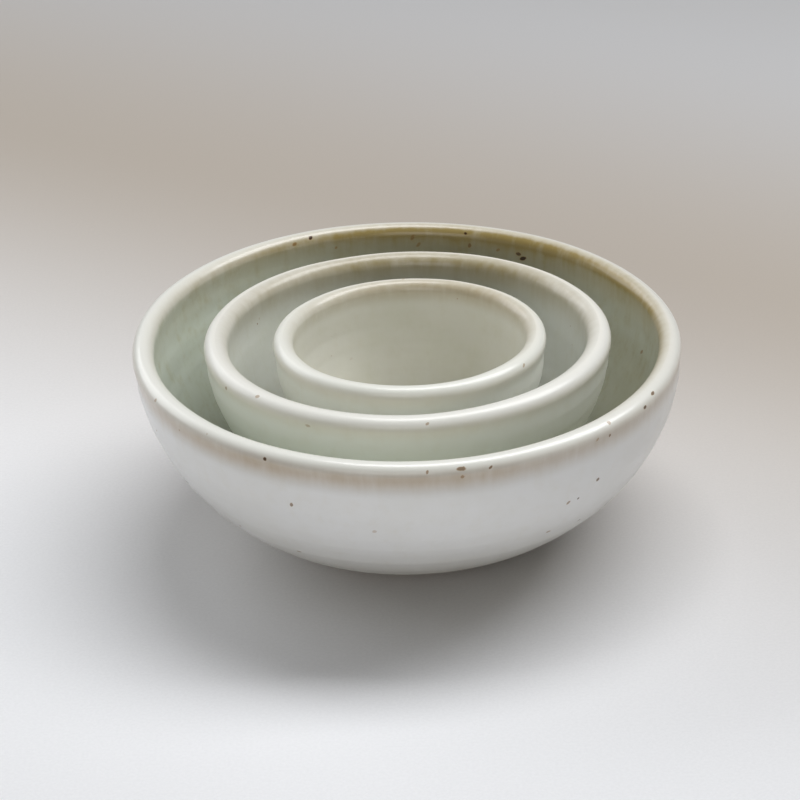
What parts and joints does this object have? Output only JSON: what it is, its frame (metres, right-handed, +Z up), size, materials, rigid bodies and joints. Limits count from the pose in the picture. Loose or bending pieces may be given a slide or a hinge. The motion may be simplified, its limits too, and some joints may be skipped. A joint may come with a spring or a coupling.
{
  "type": "nesting bowls",
  "caption": "Hand-thrown glazed bowls of graded size, nested one inside the next with their thick rounded lips almost level; each stands on a low foot ring and lifts out.",
  "frame": {"origin": "centre of the large bowl's foot ring, on the surface that it stands on", "axes": "+Z straight up along the common axis of the bowls; the bowls are round, so +X and +Y are any two level directions at right angles"},
  "size_m": [0.16, 0.16, 0.0639],
  "materials": {
    "large_glaze": "satin off-white glaze, tan where it breaks over the lip, with dark iron specks",
    "medium_glaze": "satin glaze, pale celadon green outside and grey inside, with a few specks",
    "small_glaze": "satin to glossy glaze, pale green-white"
  },
  "bodies": {
    "large": {"large_bowl": "large_glaze"},
    "medium": {"medium_bowl": "medium_glaze"},
    "small": {"small_bowl": "small_glaze"}
  },
  "joints": [
    {"name": "medium_lift", "type": "slide", "parent": "large", "child": "medium", "axis": [0, 0, 1], "range_m": [0, 0.075]},
    {"name": "small_lift", "type": "slide", "parent": "medium", "child": "small", "axis": [0, 0, 1], "range_m": [0, 0.07]}
  ]
}
